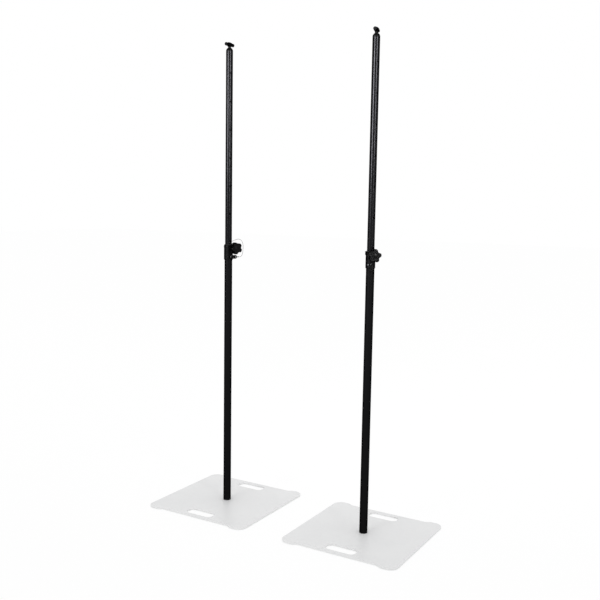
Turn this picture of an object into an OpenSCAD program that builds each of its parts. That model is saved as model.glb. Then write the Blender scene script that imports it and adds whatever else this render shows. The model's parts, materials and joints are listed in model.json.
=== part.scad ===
// Pair of telescopic court poles, each on its own steel floor plate.
// Millimetres, +Z up. The origin is on the floor, midway between the two poles.

/* [Layout] */
// Distance between the two pole axes
stand_gap = 815; // [650:5:3000]
// Direction that the left clamp knob faces, measured from +X
left_collar_turn = -22; // [-180:1:180]
// Direction that the right clamp knob faces, measured from +X
right_collar_turn = -50; // [-180:1:180]
// Direction that the index holes of the upper tubes face
tube_turn = -30; // [-180:1:180]
// Direction of the left pole's cross bar, measured from +X
left_bar_turn = 88; // [-180:1:180]
// Direction of the right pole's cross bar, measured from +X
right_bar_turn = 101; // [-180:1:180]

/* [Floor plate] */
// Side of the square plate
plate_side = 600; // [450:5:800]
// Thickness of the plate
plate_t = 8; // [5:0.5:12]
// Radius of the four corners
plate_corner_r = 45; // [20:1:70]
// How far the middle of each slotted side is drawn in
recess_depth = 14; // [6:1:20]
// Straight stretch of a slotted side before the draw-in starts
recess_shoulder = 65; // [50:1:90]
// Length of the S curve that leads into the draw-in
recess_blend = 32; // [15:1:50]
// Length of a hand slot
slot_len = 155; // [110:1:180]
// Height of a hand slot
slot_w = 60; // [35:1:70]
// Corner radius of a hand slot
slot_r = 24; // [10:1:30]
// Web of plate between a hand slot and the drawn-in edge
slot_rim = 24; // [18:1:40]

/* [Feet] */
// Diameter of a rubber foot
foot_d = 36; // [24:1:50]
// Height of a rubber foot under the plate
foot_h = 2; // [1.5:0.5:5]
// Distance from a foot's centre to the two sides of the plate
foot_inset = 42; // [30:1:60]
// Shank diameter of a foot screw
foot_screw_d = 4; // [3:0.5:6]

/* [Spigot] */
// Diameter of the spigot that the pole slips over
spigot_d = 26; // [20:0.5:30]
// Height of the spigot above the plate
spigot_h = 112; // [60:1:160]
// Thread diameter of the countersunk screw under the spigot
spigot_screw_d = 12; // [8:1:14]
// Length of the countersunk screw
spigot_screw_len = 45; // [30:1:60]
// Thickness of the nylon washer under the pole
washer_t = 1.5; // [1:0.5:4]

/* [Lower tube] */
// Outer diameter of the lower tube
lower_d = 40; // [38:0.5:50]
// Wall of the lower tube
lower_wall = 1.5; // [1:0.1:2]
// Length of the lower tube
lower_len = 1328; // [900:1:1600]
// Length of the nylon bush in the foot of the lower tube
foot_bush_len = 100; // [50:1:110]

/* [Upper tube] */
// Outer diameter of the upper tube
upper_d = 35; // [28:0.5:35]
// Wall of the upper tube
upper_wall = 1.5; // [1:0.1:3]
// Length of the upper tube
upper_len = 1210; // [1120:1:1300]
// Length of upper tube that stands clear of the lower tube's end
extension = 1010; // [900:1:1040]
// Diameter of an index hole
index_d = 9; // [8.5:0.1:12]
// Distance between index holes
index_pitch = 141; // [60:1:200]
// Distance from the top of the tube to the first index hole
index_first = 108; // [60:1:200]
// Length of the glide plug inside the foot of the upper tube
glide_plug_len = 40; // [20:1:60]
// Thickness of the glide plug's flange
glide_flange_t = 6; // [3:1:12]

/* [Top cap and cross bar] */
// Height of the domed part of the cap
cap_dome_h = 16; // [10:1:16]
// Radius of the dome's rounded shoulder
cap_dome_r = 18; // [17.5:0.5:30]
// Length of cap inside the upper tube
cap_plug_len = 30; // [20:1:45]
// Diameter of the cross bar
bar_d = 16.5; // [8:0.5:20]
// Length of the cross bar
bar_len = 62; // [50:1:120]
// Diameter of the cross bar's hub
bar_hub_d = 22.5; // [13:0.5:26]
// Length of the cross bar's hub
bar_hub_len = 17; // [14:1:24]
// Height of the cross bar's axis above the cap
bar_rise = 17.5; // [14:0.5:40]
// Diameter of the stem under the cross bar
stem_d = 15.5; // [10:0.5:17]
// Thread diameter of the stem's shank
shank_d = 10; // [6:1:10]

/* [Collar] */
// Outer diameter of the collar
collar_d = 46; // [46:0.5:56]
// Height of the collar
collar_h = 78; // [70:1:110]
// Length of lower tube that sits inside the collar
collar_grip = 40; // [35:1:50]
// Rounding of the collar's top edge
collar_round = 5; // [2:0.5:6]
// Chamfer at the collar's lower edge
collar_chamfer = 2; // [1:0.5:4]
// Wall of the nylon guide sleeve in the collar
sleeve_wall = 1.8; // [1:0.1:2.5]

/* [Clamp] */
// Distance from the collar's top to the clamp screw's axis
clamp_drop = 14.5; // [13:0.5:20]
// Diameter of the clamp boss at its outer end
clamp_boss_d = 22; // [18:0.5:24]
// Distance from the pole axis to the clamp boss's face
clamp_reach = 44; // [40:1:60]
// Thread diameter of the clamp screw
clamp_screw_d = 10; // [8:0.5:12]
// Pitch of the clamp screw's thread, its travel for each turn
clamp_pitch = 1.5; // [1:0.25:2]
// Turns from clamped to fully open
clamp_turns = 2; // [1:0.5:3]
// Diameter over the lobes of the clamp knob
knob_d = 63; // [50:1:68]
// Thickness of the knob's lobed disc
knob_t = 24; // [14:1:28]
// Number of lobes
knob_lobes = 5; // [4:1:8]
// Radius of a lobe's tip
lobe_r = 10; // [7:0.5:11]
// Radius of the hollow between two lobes
valley_r = 10; // [6:0.5:14]
// Diameter of the knob's hub
hub_d = 26; // [18:0.5:28]
// Length of hub between the clamp boss and the lobed disc
hub_len = 15; // [6:1:20]
// Turn of the left knob at rest
left_knob_turn = 60; // [0:1:72]
// Turn of the right knob at rest
right_knob_turn = 27; // [0:1:72]

/* [Locking pin] */
// Diameter of the locking pin
pin_d = 8; // [6:0.5:8]
// Distance from the collar's lower edge to the pin's axis
pin_rise = 17.5; // [12:0.5:20]
// Turn of the pin from the clamp knob
pin_turn = -8; // [-20:1:0]
// Diameter of the pin boss
pin_boss_d = 14; // [13:0.5:16]
// Distance from the pole axis to the pin boss's face
pin_reach = 30; // [27:0.5:36]
// Distance from the pin boss's face to the pull ring
ring_standoff = 17; // [14:1:30]
// Width of the pull ring
ring_w = 30; // [24:1:40]
// Height of the pull ring
ring_h = 19.5; // [17:0.5:22]
// Diameter of the pull ring's rod
ring_rod_d = 6; // [3:0.5:6.5]
// Thickness of the web that fills the pull ring
ring_web_t = 3; // [2:0.5:5]
// Turn of the left pull ring about its pin: 0 lies level, -90 hangs down
left_ring_turn = 0; // [-90:5:30]
// Turn of the right pull ring about its pin
right_ring_turn = -90; // [-90:5:30]

/* [Lanyard] */
// Diameter of the wire lanyard
wire_d = 1.5; // [1.25:0.25:2.5]
// Diameter of the crimped ferrules at its ends
ferrule_d = 4; // [3:0.25:6]
// Turn of the lanyard's anchor from the clamp knob
anchor_turn = -90; // [-110:1:-70]
// Distance from the collar's top to the anchor screw's axis
anchor_drop = 10; // [8:0.5:16]

/* [Screws] */
// Shank diameter of the collar screws
collar_screw_d = 5; // [4:0.5:6]
// Turn of the collar screws from the clamp knob
collar_screw_turn = -41; // [-60:1:-41]

/* [Fits] */
// Radial gap of a running fit
run_fit = 0.1; // [0.05:0.01:0.3]
// Radial gap between a part and the hole that it is fixed in
fixed_fit = 0.05; // [0.02:0.01:0.1]
// Radial gap where the pole slips over the spigot
slip_fit = 0.25; // [0.1:0.05:0.5]
// Gap between pieces that nearly touch
seat_gap = 0.3; // [0.2:0.1:0.6]

/* [Hidden] */
$fn = 72;
eps = 0.01;
LEFT = -1;
RIGHT = 1;

// Heights of the stand, from the floor up
plate_top = foot_h + plate_t;
pole_foot = plate_top + washer_t;
lower_top = pole_foot + lower_len;
upper_top = lower_top + extension;
upper_foot = upper_top - upper_len;
cap_top = upper_top + cap_dome_h;
bar_z = cap_top + bar_rise;

// Floor plate
slot_y = plate_side / 2 - recess_depth - slot_rim - slot_w / 2;
foot_c = plate_side / 2 - foot_inset;
foot_head_d = 2 * foot_screw_d;
spigot_head_d = 2 * spigot_screw_d;

// Radii of the tubes
lower_r = lower_d / 2;
lower_in_r = lower_r - lower_wall;
upper_r = upper_d / 2;
upper_in_r = upper_r - upper_wall;
index_count = floor((upper_len - index_first - glide_plug_len - glide_flange_t) / index_pitch) + 1;

// Collar
collar_r = collar_d / 2;
collar_foot = lower_top - collar_grip;
collar_top = collar_foot + collar_h;
sleeve_in_r = upper_r + run_fit;
sleeve_out_r = sleeve_in_r + sleeve_wall;
sleeve_lip_t = 1.5;
boss_root = collar_r - 4;
clamp_z = collar_top - clamp_drop;
pin_z = collar_foot + pin_rise;

// Clamp, along the clamp screw's axis
clamp_screw_r = clamp_screw_d / 2;
clamp_travel = clamp_pitch * clamp_turns;
pad_r = clamp_screw_r + 1;
pad_face = upper_r + seat_gap;
pad_back = pad_face + 5.5;
nose_r = clamp_screw_r - 1.5;
nose_len = 2;
insert_r = clamp_screw_r + 2;
pad_bore_end = pad_back + clamp_travel + 1;
insert_foot = pad_bore_end + 2;
knob_foot = clamp_reach + 2;
disc_foot = knob_foot + hub_len;
knob_face = disc_foot + knob_t;
cap_recess_r = 11;
cap_recess = 3;
screw_end = knob_face - cap_recess - 3;

// Locking pin, along its own axis, drawn back so that its tip clears the upper tube
pin_r = pin_d / 2;
pin_tip = upper_r + 2 * seat_gap;
ring_plane = pin_reach + ring_standoff;
ring_end_r = (ring_h - ring_rod_d) / 2;
ring_half = (ring_w - ring_h) / 2;
ring_reach = 2 * (ring_end_r + ring_half);
ring_sleeve_foot = -3.5;
ring_sleeve_top = 3.5;
ring_sleeve_floor = 1.5;
eye_r = 2.5;

// Cap and cross bar
nut_af = 1.7 * shank_d;
hex_corner = 1.155;
nut_t = 0.8 * shank_d;
cap_deck = 7;
cap_bore_r = shank_d / 2 + run_fit;
nut_washer_t = 1.5;

// Knob outline: lobes and hollows that run into each other without a corner
lobe_c = knob_d / 2 - lobe_r;
half_lobe = 180 / knob_lobes;
lobe_cos = lobe_c * cos(half_lobe);
lobe_sin = lobe_c * sin(half_lobe);
valley_c = lobe_cos + sqrt(pow(lobe_r + valley_r, 2) - pow(lobe_sin, 2));

// Lanyard anchor: a lug on a low boss of the collar
anchor_screw_r = 2;
anchor_lug_r = 5.5;
anchor_face = collar_r + 0.5;
anchor_z = collar_top - anchor_drop;
lug_t = 1.5;

// Lanyard routes in the collar's frame: X along the clamp screw, Z from the clamp screw's axis.
// The left wire stands in an arch over the knob, and the right one hangs down in front of the pole.
route_start = [8, -22, 17];
left_free = [[19.8, -13.7, 24], [28.9, -5.5, 30], [39.7, 5, 37], [52.4, 16.5, 44],
    [61, 27.5, 45], [65, 37, 38], [66, 44, 26], [65.7, 47, 12],
    [64.6, 48, -3], [61.5, 48.5, -18], [58.8, 47.5, -31], [55.8, 44, -41]];
right_free = [[14, -17.8, 20.6], [24, -13.5, 25], [34, -16, 24], [41, -22, 16],
    [44, -27, 4], [44, -28, -11], [43, -28, -31], [42, -28, -50],
    [42, -27, -70], [42.4, -26.4, -81], [42.7, -26.4, -88.5], [43.4, -24.6, -94.4],
    [44.3, -19.7, -98.1], [45.2, -13.6, -98.1], [46.1, -8.5, -94.4]];
clip_ring_r = ring_rod_d / 2 + 1.5;
clip_ring_rod_d = 2;
clip_ferrule = 8;
anchor_ferrule = 9;
clip_lead = 6;
wire_steps = 3;
wire_sides = 8;

// ---- Placing ----

// Puts its children on the axis of one stand
module at_stand(side) {
    translate([side * stand_gap / 2, 0, 0]) children();
}

// The same, turned so that +X runs along the clamp screw
module at_collar(side) {
    at_stand(side) rotate([0, 0, side == LEFT ? left_collar_turn : right_collar_turn]) children();
}

// The same, turned so that +X runs through the index holes
module at_tube(side) {
    at_stand(side) rotate([0, 0, tube_turn]) children();
}

// The same, turned so that +X runs along the cross bar
module at_bar(side) {
    at_stand(side) rotate([0, 0, side == LEFT ? left_bar_turn : right_bar_turn]) children();
}

// Lays its children's Z axis along a radius of the pole, at a turn and a height
module radial(turn, z) {
    rotate([0, 0, turn]) translate([0, 0, z]) rotate([0, 90, 0]) children();
}

// ---- Shapes that repeat ----

module ring(out_r, in_r, h) {
    difference() {
        cylinder(r = out_r, h = h);
        translate([0, 0, -eps]) cylinder(r = in_r, h = h + 2 * eps);
    }
}

module rounded_rect(w, h, r) {
    square([w - 2 * r, h], center = true);
    square([w, h - 2 * r], center = true);
    for (x = [-1, 1], y = [-1, 1]) translate([x * (w / 2 - r), y * (h / 2 - r)]) circle(r = r);
}

// Cylinder with a 90-degree countersunk head whose flat top is at z = 0, pointing down
module countersunk(d, len, head_d) {
    translate([0, 0, -len]) cylinder(d = d, h = len - eps);
    translate([0, 0, -(head_d - d) / 2]) cylinder(d1 = d, d2 = head_d, h = (head_d - d) / 2);
}

// Straight rod between two points
module rod(a, b, d) {
    v = b - a;
    len = norm(v);
    translate(a) rotate([0, acos(v.z / len), atan2(v.y, v.x)]) cylinder(d = d, h = len);
}

// ---- Floor plate ----

// The strip that is cut away from one slotted side
module recess_outline() {
    edge = plate_side / 2;
    outer = edge - recess_shoulder;
    steps = 16;
    blend = [for (i = [0:steps])
        [outer - recess_blend * i / steps, edge - recess_depth * (1 - cos(180 * i / steps)) / 2]];
    right = concat([[outer, edge + 1]], blend);
    left = [for (i = [len(right) - 1:-1:0]) [-right[i].x, right[i].y]];
    polygon(concat(right, left));
}

module plate_outline() {
    difference() {
        rounded_rect(plate_side, plate_side, plate_corner_r);
        for (turn = [0, 180]) rotate(turn) recess_outline();
        for (y = [-slot_y, slot_y]) translate([0, y]) rounded_rect(slot_len, slot_w, slot_r);
    }
}

module at_feet() {
    for (x = [-foot_c, foot_c], y = [-foot_c, foot_c]) translate([x, y, 0]) children();
}

module base_plate() {
    color("gainsboro") difference() {
        translate([0, 0, foot_h]) linear_extrude(plate_t) plate_outline();
        at_feet() translate([0, 0, plate_top + eps])
            countersunk(foot_screw_d + 2 * fixed_fit, plate_t + 1, foot_head_d + 2 * fixed_fit);
        translate([0, 0, foot_h - eps]) mirror([0, 0, 1])
            countersunk(spigot_screw_d + 2 * fixed_fit, plate_t + 1, spigot_head_d + 2 * fixed_fit);
    }
}

module base_feet() {
    color("dimgray") at_feet() difference() {
        rotate_extrude() polygon([[0, 0], [foot_d / 2 - 1, 0], [foot_d / 2, 1],
            [foot_d / 2, foot_h], [0, foot_h]]);
        translate([0, 0, foot_h / 3]) cylinder(r = foot_screw_d / 2 + fixed_fit, h = foot_h);
    }
}

module foot_screws() {
    color("silver") at_feet() translate([0, 0, plate_top])
        countersunk(foot_screw_d, plate_t + foot_h * 2 / 3, foot_head_d);
}

// ---- Spigot ----

module spigot() {
    bore = spigot_screw_len - plate_t + 2;
    lead = 4;
    color("silver") translate([0, 0, plate_top]) difference() {
        rotate_extrude() polygon([[0, 0], [spigot_d / 2, 0], [spigot_d / 2, spigot_h - 2 * lead],
            [spigot_d / 2 - lead, spigot_h], [0, spigot_h]]);
        translate([0, 0, -eps]) cylinder(r = spigot_screw_d / 2 + fixed_fit, h = bore);
    }
}

module spigot_screw() {
    color("dimgray") translate([0, 0, foot_h]) difference() {
        mirror([0, 0, 1]) countersunk(spigot_screw_d, spigot_screw_len, spigot_head_d);
        translate([0, 0, -eps]) cylinder(d = 0.6 * spigot_screw_d, h = spigot_screw_d / 3, $fn = 6);
    }
}

module foot_washer() {
    color("white") translate([0, 0, plate_top])
        ring(lower_r, spigot_d / 2 + slip_fit, washer_t);
}

// ---- Lower tube ----

module foot_bush() {
    color("white") translate([0, 0, pole_foot])
        ring(lower_in_r - fixed_fit, spigot_d / 2 + slip_fit, foot_bush_len);
}

module lower_tube() {
    color([0.1, 0.1, 0.1]) difference() {
        translate([0, 0, pole_foot]) ring(lower_r, lower_in_r, lower_len);
        radial(pin_turn, pin_z) cylinder(r = pin_r + run_fit, h = collar_d);
        for (turn = [0, 180]) radial(collar_screw_turn + turn, pin_z)
            cylinder(r = collar_screw_d / 2 + fixed_fit, h = collar_d);
    }
}

// ---- Collar ----

module collar_body() {
    rotate_extrude() difference() {
        translate([0, collar_foot]) union() {
            square([collar_r - collar_round, collar_h]);
            translate([0, collar_chamfer]) square([collar_r, collar_h - collar_round - collar_chamfer]);
            translate([collar_r - collar_round, collar_h - collar_round]) circle(r = collar_round);
            polygon([[0, 0], [collar_r - collar_chamfer, 0], [collar_r, collar_chamfer],
                [0, collar_chamfer]]);
        }
        translate([-collar_d, collar_foot - 1]) square([collar_d, collar_h + 2]);
    }
}

module collar() {
    color([0.12, 0.12, 0.13]) difference() {
        union() {
            collar_body();
            radial(0, clamp_z) translate([0, 0, boss_root])
                cylinder(d1 = clamp_boss_d + 3, d2 = clamp_boss_d, h = clamp_reach - boss_root);
            radial(pin_turn, pin_z) translate([0, 0, boss_root])
                cylinder(d1 = pin_boss_d + 2, d2 = pin_boss_d, h = pin_reach - boss_root);
            radial(anchor_turn, anchor_z) translate([0, 0, boss_root])
                cylinder(r = anchor_lug_r, h = anchor_face - boss_root);
        }
        translate([0, 0, collar_foot - 1]) cylinder(r = lower_r + fixed_fit, h = collar_grip + 1);
        translate([0, 0, lower_top - 1]) cylinder(r = sleeve_out_r + fixed_fit, h = collar_h);
        radial(0, clamp_z) {
            cylinder(r = pad_r + 2 * run_fit, h = pad_bore_end);
            cylinder(r = clamp_screw_r + 2 * run_fit, h = clamp_reach);
            translate([0, 0, insert_foot]) cylinder(r = insert_r + fixed_fit, h = clamp_reach);
        }
        radial(pin_turn, pin_z) cylinder(r = pin_r + run_fit, h = 2 * pin_reach);
        for (turn = [0, 180]) radial(collar_screw_turn + turn, pin_z)
            cylinder(r = collar_screw_d / 2 + fixed_fit, h = collar_d);
        radial(anchor_turn, anchor_z)
            cylinder(r = anchor_screw_r + fixed_fit, h = collar_d);
    }
}

// Nylon sleeve between the collar and the upper tube, with a lip over the collar's top
module guide_sleeve() {
    color("dimgray") difference() {
        union() {
            translate([0, 0, lower_top + seat_gap])
                cylinder(r = sleeve_out_r, h = collar_top - lower_top - seat_gap);
            translate([0, 0, collar_top]) cylinder(r = sleeve_out_r, h = sleeve_lip_t);
        }
        translate([0, 0, lower_top]) cylinder(r = sleeve_in_r, h = collar_h);
        radial(0, clamp_z) cylinder(r = pad_r + 2 * run_fit, h = collar_d);
        radial(anchor_turn, anchor_z)
            cylinder(r = anchor_screw_r + fixed_fit, h = collar_d);
    }
}

// Button-head screw along +Z: shank from "from" to "seat", head above the seat
module button_screw(d, from, seat) {
    head_h = 0.5 * d;
    translate([0, 0, from]) cylinder(d = d, h = seat - from + eps);
    translate([0, 0, seat]) difference() {
        rotate_extrude() intersection() {
            translate([0, -1.25 * d + head_h]) circle(r = 1.25 * d);
            square([0.9 * d, head_h]);
        }
        translate([0, 0, head_h / 2]) cylinder(d = 0.6 * d, h = head_h, $fn = 6);
    }
}

module collar_screws() {
    color("silver") for (turn = [0, 180]) radial(collar_screw_turn + turn, pin_z)
        button_screw(collar_screw_d, lower_in_r + 0.3, collar_r);
}

module clamp_insert() {
    color("goldenrod") radial(0, clamp_z) translate([0, 0, insert_foot])
        ring(insert_r, clamp_screw_r + run_fit, clamp_reach - insert_foot);
}

// ---- Clamp ----

// Brass pad hollowed to the upper tube, carried on the nose of the screw
module clamp_pad() {
    color("goldenrod") difference() {
        radial(0, clamp_z) cylinder(r = pad_r, h = pad_back);
        translate([0, 0, clamp_z - collar_h / 2]) cylinder(r = pad_face, h = collar_h);
        radial(0, clamp_z) translate([0, 0, pad_back - nose_len])
            cylinder(r = nose_r + run_fit, h = 2 * nose_len);
    }
}

module clamp_screw() {
    color("silver") radial(0, clamp_z) {
        translate([0, 0, pad_back - nose_len + run_fit]) cylinder(r = nose_r, h = nose_len + 1);
        translate([0, 0, pad_back + run_fit])
            cylinder(r = clamp_screw_r, h = screw_end - pad_back - run_fit);
    }
}

module knob_outline() {
    corners = [for (i = [0:2 * knob_lobes - 1])
        (i % 2 == 0 ? lobe_c : valley_c) * [cos(half_lobe * i), sin(half_lobe * i)]];
    difference() {
        union() {
            polygon(corners);
            for (i = [0:knob_lobes - 1]) rotate(2 * half_lobe * i)
                translate([lobe_c, 0]) circle(r = lobe_r);
        }
        for (i = [0:knob_lobes - 1]) rotate(half_lobe * (2 * i + 1))
            translate([valley_c, 0]) circle(r = valley_r);
    }
}

module clamp_knob(turn) {
    rim = 5;
    color([0.08, 0.08, 0.08]) radial(0, clamp_z) difference() {
        union() {
            translate([0, 0, knob_foot]) cylinder(d = hub_d, h = hub_len + 1);
            intersection() {
                translate([0, 0, disc_foot]) rotate(turn) linear_extrude(knob_t) knob_outline();
                rotate_extrude() translate([0, disc_foot]) union() {
                    square([knob_d / 2 - rim, knob_t]);
                    translate([0, rim]) square([knob_d / 2, knob_t - 2 * rim]);
                    for (y = [rim, knob_t - rim]) translate([knob_d / 2 - rim, y]) intersection() {
                        circle(r = rim);
                        translate([-rim, -rim]) square([2 * rim, 2 * rim]);
                    }
                }
            }
        }
        cylinder(r = clamp_screw_r + fixed_fit, h = screw_end + 0.5);
        translate([0, 0, knob_face - cap_recess]) cylinder(r = cap_recess_r, h = cap_recess + 1);
    }
}

// Domed plug that closes the middle of the knob
module knob_cap() {
    dome = 1.5;
    r = cap_recess_r - fixed_fit;
    sphere_r = (r * r + dome * dome) / (2 * dome);
    color([0.15, 0.15, 0.15]) radial(0, clamp_z) translate([0, 0, knob_face - cap_recess]) {
        cylinder(r = r, h = cap_recess);
        translate([0, 0, cap_recess]) rotate_extrude() intersection() {
            translate([0, dome - sphere_r]) circle(r = sphere_r, $fn = 180);
            square([r, dome + 1]);
        }
    }
}

// ---- Locking pin ----

module locking_pin() {
    tip = 1;
    flange_r = pin_r + 2.5;
    flange_t = 2;
    flange_back = ring_plane + ring_sleeve_foot - 0.5;
    head = ring_plane + ring_sleeve_top - ring_sleeve_floor;
    color("silver") radial(pin_turn, pin_z) rotate_extrude()
        polygon([[0, pin_tip], [pin_r - tip, pin_tip], [pin_r, pin_tip + tip],
            [pin_r, flange_back - flange_t], [flange_r, flange_back - flange_t],
            [flange_r, flange_back], [pin_r, flange_back], [pin_r, head], [0, head]]);
}

// Puts its children on the pin's axis in the plane of the pull ring, with +Y along the ring
module at_ring(side) {
    turn = side == LEFT ? left_ring_turn : right_ring_turn;
    radial(pin_turn, pin_z) translate([0, 0, ring_plane]) rotate(turn) children();
}

// Oval pull ring with a web that fills it, apart from an eye for the lanyard's clip; the pin is fixed in
// the sleeve at its near end
module pull_ring(side) {
    ring_c = ring_end_r + ring_half;
    bore_end = ring_sleeve_top - ring_sleeve_floor + fixed_fit;
    color([0.1, 0.1, 0.1]) at_ring(side) difference() {
        union() {
            for (end = [-1, 1]) translate([0, ring_c + end * ring_half, 0]) rotate(end == 1 ? 0 : 180)
                rotate_extrude(angle = 180) translate([ring_end_r, 0]) circle(d = ring_rod_d, $fn = 24);
            for (x = [-ring_end_r, ring_end_r]) translate([x, ring_c - ring_half, 0]) rotate([-90, 0, 0])
                cylinder(d = ring_rod_d, h = 2 * ring_half, $fn = 24);
            translate([0, 0, ring_sleeve_foot])
                cylinder(r = pin_r + 2, h = ring_sleeve_top - ring_sleeve_foot);
            translate([0, ring_c, -ring_web_t / 2]) linear_extrude(ring_web_t) {
                square([2 * ring_end_r, 2 * ring_half], center = true);
                for (y = [-ring_half, ring_half]) translate([0, y]) circle(r = ring_end_r);
            }
        }
        translate([0, ring_reach - clip_ring_r, -ring_web_t]) cylinder(r = eye_r, h = 2 * ring_web_t);
        translate([0, 0, ring_sleeve_foot - 1])
            cylinder(r = pin_r + fixed_fit, h = bore_end - ring_sleeve_foot + 1);
    }
}

// ---- Lanyard ----

function unit(v) = v / norm(v);
function spin(p, a) = [p.x * cos(a) - p.y * sin(a), p.x * sin(a) + p.y * cos(a), p.z];

// Direction along a pull ring, away from its pin, and the end of the ferrule beyond it
function ring_way(side) = let (turn = side == LEFT ? left_ring_turn : right_ring_turn)
    spin([0, cos(turn), sin(turn)], pin_turn);
function clip_end(side) = spin([ring_plane, 0, pin_z], pin_turn)
    + (ring_reach + clip_ring_r + clip_ferrule) * ring_way(side);

// The points that a wire passes, from its anchor to its clip
function route(side) = let (free = side == LEFT ? left_free : right_free)
    concat([for (p = concat([route_start], free)) p + [0, 0, clamp_z]],
        [clip_end(side) + clip_lead * ring_way(side), clip_end(side)]);

// Smooth curve through the points of a route
function slope(r, i) = r[min(i + 1, len(r) - 1)] - r[max(i - 1, 0)];
function rate(r, i) = slope(r, i) / (i == 0 || i == len(r) - 1 ? 1 : 2);
function curve(r, i, t) = (2 * t * t * t - 3 * t * t + 1) * r[i]
    + (t * t * t - 2 * t * t + t) * rate(r, i)
    + (3 * t * t - 2 * t * t * t) * r[i + 1] + (t * t * t - t * t) * rate(r, i + 1);
function smooth(r) = concat(
    [for (i = [0:len(r) - 2], s = [0:wire_steps - 1]) curve(r, i, s / wire_steps)],
    [r[len(r) - 1]]);

// The way along a path; both ends lie in line with their ferrules
function heading(path, i, r) = i == 0 ? unit(r[1] - r[0])
    : i == len(path) - 1 ? unit(r[len(r) - 1] - r[len(r) - 2])
    : unit(path[i + 1] - path[i - 1]);
// Sideways direction that turns with the path and never flips
function carried(path, i, r) = i == 0 ? unit(cross(heading(path, 0, r), [0, 0, 1]))
    : let (u = carried(path, i - 1, r), h = heading(path, i, r)) unit(u - (u * h) * h);

module lanyard(side) {
    r = route(side);
    path = smooth(r);
    last = len(path) - 1;
    rings = [for (i = [0:last]) let (u = carried(path, i, r), w = cross(heading(path, i, r), u))
        [for (k = [0:wire_sides - 1]) let (a = 360 * k / wire_sides)
            path[i] + wire_d / 2 * (cos(a) * u + sin(a) * w)]];
    points = [for (circle = rings, p = circle) p];
    walls = [for (i = [0:last - 1], k = [0:wire_sides - 1])
        let (a = i * wire_sides + k, b = i * wire_sides + (k + 1) % wire_sides)
        [a, a + wire_sides, b + wire_sides, b]];
    near_end = [for (k = [0:wire_sides - 1]) k];
    far_end = [for (k = [wire_sides - 1:-1:0]) last * wire_sides + k];
    color("dimgray") polyhedron(points, concat(walls, [near_end, far_end]));
}

// Lug, its screw and the ferrule that the wire is crimped in
module lanyard_anchor(side) {
    r = route(side);
    foot = r[0] - anchor_ferrule * unit(r[1] - r[0]);
    color("silver") {
        radial(anchor_turn, anchor_z) {
            translate([0, 0, anchor_face]) linear_extrude(lug_t) difference() {
                union() {
                    circle(r = anchor_lug_r);
                    translate([-anchor_lug_r - 3, -2.5]) square([anchor_lug_r + 3, 5]);
                }
                circle(r = anchor_screw_r - eps);
            }
            button_screw(2 * anchor_screw_r, sleeve_in_r + 0.4, anchor_face + lug_t);
        }
        rod(foot, r[0], ferrule_d);
    }
}

// Eye round the far end of the pull ring, with the wire's second ferrule
module lanyard_clip(side) {
    color("dimgray") at_ring(side) translate([0, ring_reach, 0]) {
        rotate([0, 90, 0]) rotate_extrude()
            translate([clip_ring_r, 0]) circle(d = clip_ring_rod_d, $fn = 24);
        translate([0, clip_ring_r + clip_ring_rod_d / 4, 0]) rotate([-90, 0, 0])
            cylinder(d = ferrule_d, h = clip_ferrule - clip_ring_rod_d / 4);
    }
}

// ---- Upper tube ----

// Glide plug: the flange runs in the lower tube, and the upper tube turns on the plug
module glide_plug() {
    color("white") translate([0, 0, upper_foot - run_fit - glide_flange_t]) difference() {
        union() {
            cylinder(r = lower_in_r - run_fit, h = glide_flange_t);
            cylinder(r = upper_in_r - fixed_fit, h = glide_flange_t + glide_plug_len);
        }
        translate([0, 0, -eps]) cylinder(r = upper_in_r - 4, h = glide_flange_t + glide_plug_len + 1);
    }
}

module upper_tube() {
    color([0.15, 0.15, 0.16]) difference() {
        translate([0, 0, upper_foot]) ring(upper_r, upper_in_r, upper_len);
        for (i = [0:index_count - 1]) radial(0, upper_top - index_first - i * index_pitch)
            translate([0, 0, -upper_d]) cylinder(d = index_d, h = 2 * upper_d, $fn = 36);
    }
}

module end_cap() {
    plug_r = upper_in_r - fixed_fit;
    shoulder = 2;
    color([0.1, 0.1, 0.1]) translate([0, 0, upper_top]) difference() {
        rotate_extrude() {
            polygon([[0, -cap_plug_len], [plug_r - 1, -cap_plug_len],
                [plug_r, 1 - cap_plug_len], [plug_r, 0], [upper_r, 0], [upper_r, shoulder], [0, shoulder]]);
            intersection() {
                translate([upper_r - cap_dome_r, shoulder]) circle(r = cap_dome_r);
                translate([0, shoulder]) square([upper_r, cap_dome_h - shoulder]);
            }
        }
        translate([0, 0, -cap_plug_len - 1])
            cylinder(r = nut_af / 2 * hex_corner + 2, h = cap_plug_len + 1 - cap_deck);
        translate([0, 0, -cap_plug_len]) cylinder(r = cap_bore_r, h = cap_plug_len + cap_dome_h + 1);
    }
}

// Cross bar on its stem; the shank passes through the cap
module cross_bar() {
    round_r = 2;
    chamfer = 0.5;
    bar_r = bar_d / 2;
    hub_r = bar_hub_d / 2;
    hub_end = bar_hub_len / 2;
    shank_foot = upper_top - cap_deck - nut_washer_t - nut_t - 2;
    color("dimgray") {
        translate([0, 0, bar_z]) rotate([0, 90, 0]) rotate_extrude()
            for (end = [0, 1]) mirror([0, end]) {
                square([bar_r, bar_len / 2 - round_r]);
                square([bar_r - round_r, bar_len / 2]);
                polygon([[0, 0], [hub_r, 0], [hub_r, hub_end - chamfer],
                    [hub_r - chamfer, hub_end], [0, hub_end]]);
                translate([bar_r - round_r, bar_len / 2 - round_r]) intersection() {
                    circle(r = round_r, $fn = 32);
                    square(round_r);
                }
            }
        translate([0, 0, cap_top + run_fit]) cylinder(d = stem_d, h = bar_rise - run_fit);
        translate([0, 0, shank_foot]) cylinder(d = shank_d, h = cap_top + 1 - shank_foot);
    }
}

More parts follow.
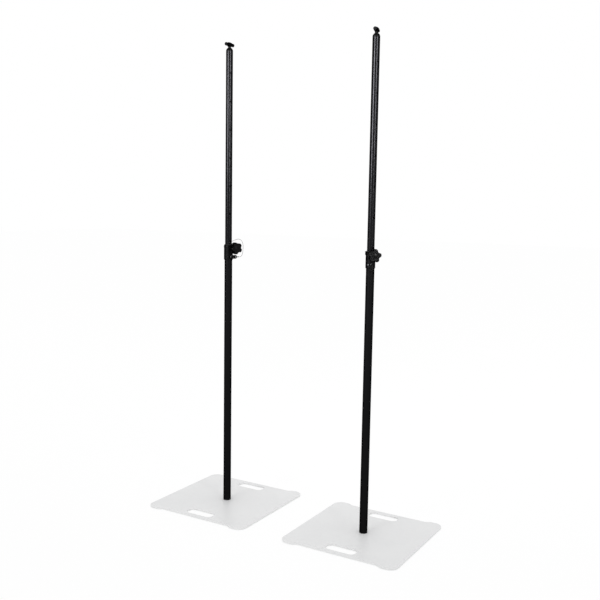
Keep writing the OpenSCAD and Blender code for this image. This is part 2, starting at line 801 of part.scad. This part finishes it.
// Lock nut and washer under the cap's deck
module bar_nut() {
    deck = upper_top - cap_deck;
    color("silver") translate([0, 0, deck - run_fit]) mirror([0, 0, 1]) difference() {
        union() {
            cylinder(r = nut_af / 2 * hex_corner + 1, h = nut_washer_t);
            cylinder(r = nut_af / 2 * hex_corner, h = nut_washer_t + nut_t, $fn = 6);
        }
        translate([0, 0, -1]) cylinder(r = shank_d / 2 + fixed_fit, h = nut_t + nut_washer_t + 2);
    }
}

// ---- The two stands ----

at_stand(LEFT) base_plate();  // base_plate_left
at_stand(LEFT) base_feet();  // base_feet_left
at_stand(LEFT) foot_screws();  // foot_screws_left
at_stand(LEFT) spigot();  // spigot_left
at_stand(LEFT) spigot_screw();  // spigot_screw_left
at_stand(LEFT) foot_washer();  // foot_washer_left
at_collar(LEFT) lower_tube();  // lower_tube_left
at_collar(LEFT) foot_bush();  // foot_bush_left
at_collar(LEFT) collar();  // collar_left
at_collar(LEFT) guide_sleeve();  // guide_sleeve_left
at_collar(LEFT) collar_screws();  // collar_screws_left
at_collar(LEFT) clamp_insert();  // clamp_insert_left
at_collar(LEFT) lanyard_anchor(LEFT);  // lanyard_anchor_left
at_collar(LEFT) lanyard(LEFT);  // lanyard_left
at_collar(LEFT) clamp_pad();  // clamp_pad_left
at_collar(LEFT) clamp_screw();  // clamp_screw_left
at_collar(LEFT) clamp_knob(left_knob_turn);  // clamp_knob_left
at_collar(LEFT) knob_cap();  // knob_cap_left
at_stand(LEFT) glide_plug();  // glide_plug_left
at_tube(LEFT) upper_tube();  // upper_tube_left
at_stand(LEFT) end_cap();  // end_cap_left
at_bar(LEFT) cross_bar();  // cross_bar_left
at_stand(LEFT) bar_nut();  // bar_nut_left
at_collar(LEFT) locking_pin();  // locking_pin_left
at_collar(LEFT) pull_ring(LEFT);  // pull_ring_left
at_collar(LEFT) lanyard_clip(LEFT);  // lanyard_clip_left

at_stand(RIGHT) base_plate();  // base_plate_right
at_stand(RIGHT) base_feet();  // base_feet_right
at_stand(RIGHT) foot_screws();  // foot_screws_right
at_stand(RIGHT) spigot();  // spigot_right
at_stand(RIGHT) spigot_screw();  // spigot_screw_right
at_stand(RIGHT) foot_washer();  // foot_washer_right
at_collar(RIGHT) lower_tube();  // lower_tube_right
at_collar(RIGHT) foot_bush();  // foot_bush_right
at_collar(RIGHT) collar();  // collar_right
at_collar(RIGHT) guide_sleeve();  // guide_sleeve_right
at_collar(RIGHT) collar_screws();  // collar_screws_right
at_collar(RIGHT) clamp_insert();  // clamp_insert_right
at_collar(RIGHT) lanyard_anchor(RIGHT);  // lanyard_anchor_right
at_collar(RIGHT) lanyard(RIGHT);  // lanyard_right
at_collar(RIGHT) clamp_pad();  // clamp_pad_right
at_collar(RIGHT) clamp_screw();  // clamp_screw_right
at_collar(RIGHT) clamp_knob(right_knob_turn);  // clamp_knob_right
at_collar(RIGHT) knob_cap();  // knob_cap_right
at_stand(RIGHT) glide_plug();  // glide_plug_right
at_tube(RIGHT) upper_tube();  // upper_tube_right
at_stand(RIGHT) end_cap();  // end_cap_right
at_bar(RIGHT) cross_bar();  // cross_bar_right
at_stand(RIGHT) bar_nut();  // bar_nut_right
at_collar(RIGHT) locking_pin();  // locking_pin_right
at_collar(RIGHT) pull_ring(RIGHT);  // pull_ring_right
at_collar(RIGHT) lanyard_clip(RIGHT);  // lanyard_clip_right
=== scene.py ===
"""A pair of black telescopic court poles on pale floor plates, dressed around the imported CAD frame.

Lengths are in metres, and colours are in linear light.
"""

import json
import math

import bpy
from mathutils import Matrix, Vector


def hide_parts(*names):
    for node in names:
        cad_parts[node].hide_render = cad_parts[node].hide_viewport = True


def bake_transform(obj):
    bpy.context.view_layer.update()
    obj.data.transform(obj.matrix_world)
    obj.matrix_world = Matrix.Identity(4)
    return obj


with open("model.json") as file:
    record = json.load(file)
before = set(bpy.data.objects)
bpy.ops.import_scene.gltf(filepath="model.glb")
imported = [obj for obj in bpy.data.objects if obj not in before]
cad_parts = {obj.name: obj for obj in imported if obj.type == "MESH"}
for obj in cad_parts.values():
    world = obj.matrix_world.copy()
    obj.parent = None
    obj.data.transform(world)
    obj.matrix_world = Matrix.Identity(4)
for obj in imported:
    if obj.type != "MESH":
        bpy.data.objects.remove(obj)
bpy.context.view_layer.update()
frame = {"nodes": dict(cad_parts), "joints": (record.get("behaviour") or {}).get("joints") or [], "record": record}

SIDES = ("left", "right")
UP = Vector((0, 0, 1))


# ---- Camera ----

CAMERA_PLACE = Vector((2.0517, -3.4265, 1.6019))
CAMERA_YAW = math.radians(120.564)
CAMERA_PITCH_DOWN = math.radians(6.883)
CAMERA_ROLL = math.radians(-0.929)
LENS_MM = 48.61
SENSOR_MM = 36


def make_camera():
    ahead = Vector((
        math.cos(CAMERA_PITCH_DOWN) * math.cos(CAMERA_YAW),
        math.cos(CAMERA_PITCH_DOWN) * math.sin(CAMERA_YAW),
        -math.sin(CAMERA_PITCH_DOWN),
    ))
    level = Vector((math.sin(CAMERA_YAW), -math.cos(CAMERA_YAW), 0))
    down = ahead.cross(level)
    right = math.cos(CAMERA_ROLL) * level + math.sin(CAMERA_ROLL) * down
    up = math.sin(CAMERA_ROLL) * level - math.cos(CAMERA_ROLL) * down
    data = bpy.data.cameras.new("camera")
    data.lens = LENS_MM
    data.sensor_width = SENSOR_MM
    camera = bpy.data.objects.new("camera", data)
    bpy.context.scene.collection.objects.link(camera)
    camera.matrix_world = (
        Matrix.Translation(CAMERA_PLACE) @ Matrix((right, up, -ahead)).transposed().to_4x4()
    )
    bpy.context.scene.camera = camera


make_camera()


# ---- Lanyards: a wire from the collar to the pull of the locking pin ----

WIRE_D = 0.0015
# Points in the collar's frame, from where the clamp screw meets the pole's axis:
# X along the screw, Y to its left, Z up
WIRE_START = (0.008, -0.022, 0.017)
WIRE_FREE = {
    "left": (
        (0.0198, -0.0137, 0.024), (0.0289, -0.0055, 0.030), (0.0397, 0.005, 0.037),
        (0.0524, 0.0165, 0.044), (0.061, 0.0275, 0.045), (0.065, 0.037, 0.038),
        (0.066, 0.044, 0.026), (0.0657, 0.047, 0.012), (0.0646, 0.048, -0.003),
        (0.0615, 0.0485, -0.018), (0.0588, 0.0475, -0.031), (0.0558, 0.044, -0.041),
    ),
    "right": (
        (0.014, -0.0178, 0.0206), (0.024, -0.0135, 0.025), (0.034, -0.016, 0.024),
        (0.041, -0.022, 0.016), (0.044, -0.027, 0.004), (0.044, -0.028, -0.011),
        (0.043, -0.028, -0.031), (0.042, -0.028, -0.050), (0.042, -0.027, -0.070),
        (0.0424, -0.0264, -0.081), (0.0427, -0.0264, -0.0885), (0.0434, -0.0246, -0.0944),
        (0.0443, -0.0197, -0.0981), (0.0452, -0.0136, -0.0981), (0.0461, -0.0085, -0.0944),
    ),
}
# The locking pin lies this far below the clamp screw, and points this far round from it
PIN_DROP = 0.046
PIN_TURN = math.radians(-8)
# The pull's middle plane along the pin, its tip's distance from the pin, and its swing
RING_PLANE = 0.047
RING_REACH = 0.024
RING_TURN = {"left": 0, "right": math.radians(-90)}
# The small ring through the pull's eye, its ferrule, and the straight wire that enters the ferrule
CLIP_RING_R = 0.0045
CLIP_FERRULE = 0.008
CLIP_LEAD = 0.006
# Curve points for each stretch between the route's points, and the sides round the wire
WIRE_STEPS = 8
WIRE_SIDES = 12


def collar_frame(side):
    """Where the clamp screw meets the pole's axis, the screw's way and the way to its left."""
    knob = next(j for j in frame["joints"] if j["name"] == f"knob_turn_{side}")
    out = Vector(knob["axis"])
    return Vector(knob["pos_m"]), out, UP.cross(out)


def turned(out, left, angle):
    return (
        math.cos(angle) * out + math.sin(angle) * left,
        math.cos(angle) * left - math.sin(angle) * out,
    )


def wire_route(side):
    origin, out, left = collar_frame(side)
    pin_out, pin_left = turned(out, left, PIN_TURN)
    ring_way = math.cos(RING_TURN[side]) * pin_left + math.sin(RING_TURN[side]) * UP
    ring_root = origin - PIN_DROP * UP + RING_PLANE * pin_out
    clip_end = ring_root + (RING_REACH + CLIP_RING_R + CLIP_FERRULE) * ring_way
    free = [origin + x * out + y * left + z * UP for x, y, z in (WIRE_START, *WIRE_FREE[side])]
    return [*free, clip_end + CLIP_LEAD * ring_way, clip_end]


def smooth(route, steps):
    """Points of a curve through the route's points; it starts and ends along its end stretches."""
    last = len(route) - 1
    slopes = [(route[min(i + 1, last)] - route[max(i - 1, 0)]) / 2 for i in range(last + 1)]
    slopes[0] = route[1] - route[0]
    slopes[last] = route[last] - route[last - 1]
    points = []
    for i in range(last):
        for step in range(steps):
            t = step / steps
            points.append(
                (2 * t**3 - 3 * t**2 + 1) * route[i] + (t**3 - 2 * t**2 + t) * slopes[i]
                + (3 * t**2 - 2 * t**3) * route[i + 1] + (t**3 - t**2) * slopes[i + 1]
            )
    return [*points, route[last]]


def tube(name, path, radius, sides):
    """A closed tube along a path, and its length; its UV map runs round it and along it."""
    last = len(path) - 1
    headings = [
        (path[min(i + 1, last)] - path[max(i - 1, 0)]).normalized() for i in range(last + 1)
    ]
    across = headings[0].cross(UP).normalized()
    along = 0
    vertices = []
    distances = []
    for i, heading in enumerate(headings):
        across = (across - across.dot(heading) * heading).normalized()
        third = heading.cross(across)
        along += (path[i] - path[i - 1]).length if i else 0
        distances.append(along)
        for k in range(sides):
            turn = 2 * math.pi * k / sides
            vertices.append(path[i] + radius * (math.cos(turn) * across + math.sin(turn) * third))
    faces = []
    for i in range(last):
        near, far = i * sides, (i + 1) * sides
        for k in range(sides):
            following = (k + 1) % sides
            faces.append((near + k, near + following, far + following, far + k))
    faces += [tuple(reversed(range(sides))), tuple(last * sides + k for k in range(sides))]
    mesh = bpy.data.meshes.new(name)
    mesh.from_pydata(vertices, [], faces)
    uv = mesh.uv_layers.new(name="along")
    for n, face in enumerate(mesh.polygons):
        face.use_smooth = len(face.vertices) == 4
        for loop, vertex in zip(face.loop_indices, face.vertices):
            i, k = divmod(vertex, sides)
            wrapped = k == 0 and n % sides == sides - 1
            uv.data[loop].uv = ((sides if wrapped else k) / sides, distances[i])
    thing = bpy.data.objects.new(name, mesh)
    bpy.context.scene.collection.objects.link(thing)
    return thing, along


wires = {}
for side in SIDES:
    path = smooth(wire_route(side), WIRE_STEPS)
    wire, wire_length = tube(f"lanyard_wire_{side}", path, WIRE_D / 2, WIRE_SIDES)
    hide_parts(f"lanyard_{side}")
    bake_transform(wire)
    wires[side] = wire


# ---- Materials ----

# A noise texture's values mostly lie between these
NOISE_LOW = 0.3
NOISE_HIGH = 0.7
# How much of the full glancing reflection a black coat shows
DARK_EDGE = 0.2
RUB_STRENGTH = 0.5


class Surface:
    """A material built on one shader; its textures are laid out in the row frame."""

    def __init__(self, name, color, roughness, metallic=0.0, specular=0.5, edge=1.0):
        self.material = bpy.data.materials.new(name)
        self.material.use_nodes = True
        self.tree = self.material.node_tree
        self.shader = self.tree.nodes["Principled BSDF"]
        self.color = (*color, 1)
        self.set("Base Color", self.color)
        self.set("Roughness", roughness)
        self.set("Metallic", metallic)
        self.set("Specular IOR Level", specular)
        self.set("Specular Tint", (edge, edge, edge, 1))
        self.place = self.node("ShaderNodeTexCoord").outputs["Object"]

    def set(self, socket, value):
        self.shader.inputs[socket].default_value = value

    def link(self, output, socket):
        self.tree.links.new(output, self.shader.inputs[socket])

    def feed(self, socket, value):
        """Links an output to a node's socket, or sets the socket to a value."""
        if isinstance(value, bpy.types.NodeSocket):
            self.tree.links.new(value, socket)
        else:
            socket.default_value = value

    def node(self, kind, **values):
        made = self.tree.nodes.new(kind)
        for name, value in values.items():
            self.feed(made.inputs[name.replace("_", " ")], value)
        return made

    def stretched(self, x, y, z):
        return self.node("ShaderNodeMapping", Vector=self.place, Scale=(x, y, z)).outputs["Vector"]

    def noise(self, scale, detail, place=None):
        made = self.node(
            "ShaderNodeTexNoise", Vector=place or self.place, Scale=scale, Detail=detail
        )
        return made.outputs["Fac"]

    def spots(self, scale):
        made = self.node("ShaderNodeTexVoronoi", Vector=self.place, Scale=scale)
        return made.outputs["Distance"]

    def ranged(self, value, low, high, to_low=0.0, to_high=1.0):
        made = self.node(
            "ShaderNodeMapRange", Value=value, From_Min=low, From_Max=high,
            To_Min=to_low, To_Max=to_high,
        )
        return made.outputs["Result"]

    def times(self, a, b):
        made = self.node("ShaderNodeMath")
        made.operation = "MULTIPLY"
        self.feed(made.inputs[0], a)
        self.feed(made.inputs[1], b)
        return made.outputs["Value"]

    def tint(self, share, color):
        """Mixes another colour into the base colour where share is 1."""
        made = self.node("ShaderNodeMix")
        made.data_type = "RGBA"
        self.feed(made.inputs["Factor"], share)
        shown = self.shader.inputs["Base Color"]
        self.feed(made.inputs["A"], shown.links[0].from_socket if shown.is_linked else self.color)
        self.feed(made.inputs["B"], (*color, 1))
        self.link(made.outputs["Result"], "Base Color")

    def mottle(self, noise, low, high, color):
        """Mixes another colour in as a noise's value runs from low to high."""
        self.tint(self.ranged(noise, low, high), color)

    def rough(self, noise, smoothest, roughest):
        self.link(self.ranged(noise, NOISE_LOW, NOISE_HIGH, smoothest, roughest), "Roughness")

    def bump(self, height, depth, strength):
        made = self.node("ShaderNodeBump", Height=height, Distance=depth, Strength=strength)
        self.link(made.outputs["Normal"], "Normal")


def dimmed(color, share):
    return tuple(share * c for c in color)


def plate_paint():
    """Pale grey powder coat: fine orange peel, faint clouding and a few light rubs."""
    s = Surface("plate_paint", (0.735, 0.737, 0.739), roughness=0.45)
    s.mottle(s.noise(6, detail=4), low=0.35, high=0.7, color=(0.715, 0.718, 0.722))
    streaks = s.ranged(s.noise(9, detail=6, place=s.stretched(1, 9, 1)), low=0.60, high=0.74)
    worn_places = s.ranged(s.noise(3, detail=2), low=0.45, high=0.6)
    s.tint(s.times(s.times(streaks, worn_places), RUB_STRENGTH), (0.77, 0.77, 0.772))
    s.rough(s.noise(40, detail=3), smoothest=0.38, roughest=0.50)
    s.bump(s.noise(420, detail=2), depth=0.0004, strength=0.35)
    return s.material


def foot_rubber():
    """Black rubber with a dusty bloom."""
    s = Surface("foot_rubber", (0.03, 0.03, 0.031), roughness=0.75, specular=0.3)
    s.mottle(s.noise(120, detail=4), low=0.45, high=0.75, color=(0.06, 0.058, 0.056))
    s.bump(s.noise(900, detail=2), depth=0.0003, strength=0.5)
    return s.material


def zinc(name, color):
    """Zinc plate with its faint cloudy grain."""
    s = Surface(name, color, roughness=0.3, metallic=1.0)
    s.mottle(s.noise(160, detail=4), low=0.4, high=0.7, color=dimmed(color, 0.84))
    s.rough(s.noise(220, detail=3), smoothest=0.22, roughest=0.40)
    s.bump(s.noise(1500, detail=2), depth=0.00008, strength=0.4)
    return s.material


def pale_zinc():
    """Zinc plate dulled to the plate's pale grey."""
    s = Surface("pale_zinc", (0.80, 0.80, 0.805), roughness=0.5, metallic=0.2)
    s.mottle(s.noise(160, detail=4), low=0.4, high=0.7, color=(0.72, 0.72, 0.725))
    s.bump(s.noise(1500, detail=2), depth=0.00008, strength=0.4)
    return s.material


def nylon(name, color):
    """Nylon with a faintly cloudy colour."""
    s = Surface(name, color, roughness=0.5, specular=0.4)
    s.mottle(s.noise(90, detail=3), low=0.4, high=0.75, color=dimmed(color, 0.86))
    s.rough(s.noise(350, detail=2), smoothest=0.42, roughest=0.58)
    return s.material


def dark_coat(name, color, roughness):
    """A black coat that reflects its colour's share head-on and little more at a glancing angle."""
    return Surface(name, color, roughness, metallic=1.0, edge=DARK_EDGE)


def dark_steel():
    """Black oxide, with faint brown rubs."""
    s = dark_coat("dark_steel", (0.014, 0.014, 0.0145), roughness=0.35)
    s.mottle(s.noise(300, detail=4), low=0.5, high=0.7, color=(0.024, 0.023, 0.022))
    s.rough(s.noise(250, detail=3), smoothest=0.28, roughest=0.46)
    return s.material


def matt_tube():
    """Matt black powder coat with its fine grain, and a few faint handling marks along the tube."""
    s = dark_coat("matt_tube", (0.0081, 0.0081, 0.0086), roughness=0.5)
    marks = s.noise(30, detail=5, place=s.stretched(8, 8, 0.6))
    s.mottle(marks, low=0.62, high=0.82, color=(0.0135, 0.0135, 0.014))
    s.rough(s.noise(60, detail=3), smoothest=0.45, roughest=0.58)
    s.bump(s.noise(1400, detail=2), depth=0.00012, strength=0.5)
    return s.material


def gloss_tube():
    """Black gloss paint with fine draw lines along the tube."""
    s = dark_coat("gloss_tube", (0.0127, 0.0127, 0.0139), roughness=0.2)
    lines = s.noise(55, detail=2, place=s.stretched(14, 14, 0.25))
    s.mottle(lines, low=0.6, high=0.8, color=(0.018, 0.018, 0.019))
    s.rough(lines, smoothest=0.18, roughest=0.26)
    s.bump(lines, depth=0.00002, strength=0.2)
    return s.material


def black_casting():
    """Satin black coat over a casting's fine grain."""
    s = dark_coat("black_casting", (0.0076, 0.0076, 0.008), roughness=0.38)
    s.mottle(s.noise(70, detail=4), low=0.5, high=0.8, color=(0.0115, 0.0115, 0.012))
    s.rough(s.noise(110, detail=3), smoothest=0.30, roughest=0.46)
    s.bump(s.noise(800, detail=3), depth=0.0003, strength=0.45)
    return s.material


def black_plastic(name, grain):
    """Moulded black plastic with an even spark-eroded grain."""
    s = dark_coat(name, (0.009, 0.009, 0.0092), roughness=0.36)
    s.mottle(s.noise(50, detail=4), low=0.45, high=0.75, color=(0.013, 0.013, 0.0135))
    s.rough(s.noise(150, detail=3), smoothest=0.28, roughest=0.44)
    s.bump(s.spots(grain), depth=0.0002, strength=0.3)
    return s.material


def brass():
    """Brass with a worn, uneven polish."""
    s = Surface("brass", (0.72, 0.52, 0.24), roughness=0.3, metallic=1.0)
    s.rough(s.noise(260, detail=3), smoothest=0.2, roughest=0.42)
    return s.material


def wire_rope():
    """Stranded steel wire: the strands' lay runs round the wire as slanting ridges."""
    s = dark_coat("wire", (0.02, 0.02, 0.021), roughness=0.42)
    round_and_along = s.node("ShaderNodeUVMap").outputs["UV"]
    scaled = s.node("ShaderNodeMapping", Vector=round_and_along, Scale=(6, 700, 1))
    lay = s.node("ShaderNodeTexWave", Vector=scaled.outputs["Vector"], Scale=0.16)
    lay.bands_direction = "DIAGONAL"
    ridges = lay.outputs["Fac"]
    # The grooves between the strands get a darker colour: painted shade in the grooves
    s.mottle(ridges, low=0.5, high=0.0, color=(0.006, 0.006, 0.0065))
    s.bump(ridges, depth=0.0002, strength=0.6)
    return s.material


MATERIALS = {
    "plate_paint": plate_paint(),
    "foot_rubber": foot_rubber(),
    "zinc": zinc("zinc", (0.62, 0.63, 0.65)),
    "dark_steel": dark_steel(),
    "white_nylon": nylon("white_nylon", (0.72, 0.71, 0.67)),
    "grey_nylon": nylon("grey_nylon", (0.012, 0.012, 0.012)),
    "matt_tube": matt_tube(),
    "gloss_tube": gloss_tube(),
    "black_casting": black_casting(),
    "knob_plastic": black_plastic("knob_plastic", grain=2200),
    "cap_plastic": black_plastic("cap_plastic", grain=3000),
    "brass": brass(),
    "wire": wire_rope(),
}

# Screws whose finish is not their slot's: the right collar's screws get a lighter zinc as a painted glint, and the
# plates' screws a pale zinc
SCREWS = {
    "collar_screws_right": zinc("painted_glint_zinc", (0.16, 0.162, 0.168)),
    **{f"foot_screws_{side}": pale_zinc() for side in SIDES},
}

for part in frame["record"]["subparts"]:
    materials = frame["nodes"][part["node"]].data.materials
    materials.clear()
    materials.append(SCREWS.get(part["node"]) or MATERIALS[part["material_slot"]])
for side in SIDES:
    wires[side].data.materials.append(MATERIALS["wire"])


# ---- Floor, world and light ----

FLOOR_HALF = 30
FLOOR_COLOR = (0.95, 0.95, 0.95, 1)
# How much of the floor and of the sky is plain white to the camera and in reflections
FLOOR_WHITE = 0.85
SKY_WHITE = 1.0
SKY_COLOR = (1, 1, 1, 1)
SKY_LIGHT = 1.0
# Both lamps light the poles' upper half, in a narrow beam that leaves the plates to the sky
LAMP_AIM = Vector((0, 0, 2.05))
LAMP_HEIGHT = 1.6
LAMP_SPREAD = math.radians(45)


def white_to_the_eye(tree, shader, share):
    """Mixes plain white emission into a shader for camera, glossy and transmission rays."""
    path = tree.nodes.new("ShaderNodeLightPath")
    seen = path.outputs["Is Camera Ray"]
    for ray in ("Is Glossy Ray", "Is Transmission Ray"):
        both = tree.nodes.new("ShaderNodeMath")
        both.operation = "MAXIMUM"
        tree.links.new(seen, both.inputs[0])
        tree.links.new(path.outputs[ray], both.inputs[1])
        seen = both.outputs["Value"]
    shared = tree.nodes.new("ShaderNodeMath")
    shared.operation = "MULTIPLY"
    tree.links.new(seen, shared.inputs[0])
    shared.inputs[1].default_value = share
    white = tree.nodes.new("ShaderNodeEmission")
    mix = tree.nodes.new("ShaderNodeMixShader")
    tree.links.new(shared.outputs["Value"], mix.inputs["Fac"])
    tree.links.new(shader, mix.inputs[1])
    tree.links.new(white.outputs["Emission"], mix.inputs[2])
    return mix.outputs["Shader"]


def make_floor():
    mesh = bpy.data.meshes.new("floor")
    corners = [(-1, -1), (1, -1), (1, 1), (-1, 1)]
    mesh.from_pydata([(FLOOR_HALF * x, FLOOR_HALF * y, 0) for x, y in corners], [], [(0, 1, 2, 3)])
    floor = bpy.data.objects.new("floor", mesh)
    bpy.context.scene.collection.objects.link(floor)
    material = bpy.data.materials.new("floor")
    material.use_nodes = True
    tree = material.node_tree
    tree.nodes.clear()
    diffuse = tree.nodes.new("ShaderNodeBsdfDiffuse")
    diffuse.inputs["Color"].default_value = FLOOR_COLOR
    output = tree.nodes.new("ShaderNodeOutputMaterial")
    tree.links.new(
        white_to_the_eye(tree, diffuse.outputs["BSDF"], FLOOR_WHITE), output.inputs["Surface"]
    )
    mesh.materials.append(material)


def make_world():
    world = bpy.data.worlds.new("studio")
    bpy.context.scene.world = world
    world.use_nodes = True
    tree = world.node_tree
    sky = tree.nodes["Background"]
    sky.inputs["Color"].default_value = SKY_COLOR
    sky.inputs["Strength"].default_value = SKY_LIGHT
    tree.links.new(
        white_to_the_eye(tree, sky.outputs["Background"], SKY_WHITE),
        tree.nodes["World Output"].inputs["Surface"],
    )


def make_lamp(name, place, width, power):
    data = bpy.data.lights.new(name, "AREA")
    data.shape = "RECTANGLE"
    data.size = width
    data.size_y = LAMP_HEIGHT
    data.energy = power
    data.spread = LAMP_SPREAD
    lamp = bpy.data.objects.new(name, data)
    bpy.context.scene.collection.objects.link(lamp)
    lamp.location = place
    lamp.rotation_mode = "QUATERNION"
    lamp.rotation_quaternion = (LAMP_AIM - Vector(place)).to_track_quat("-Z", "Y")


make_floor()
make_world()
make_lamp("key", place=(-1.0, -4.6, 2.75), width=1.3, power=18)
make_lamp("fill", place=(3.6, -2.1, 2.7), width=0.6, power=8.5)

bpy.context.scene.view_settings.view_transform = "Standard"
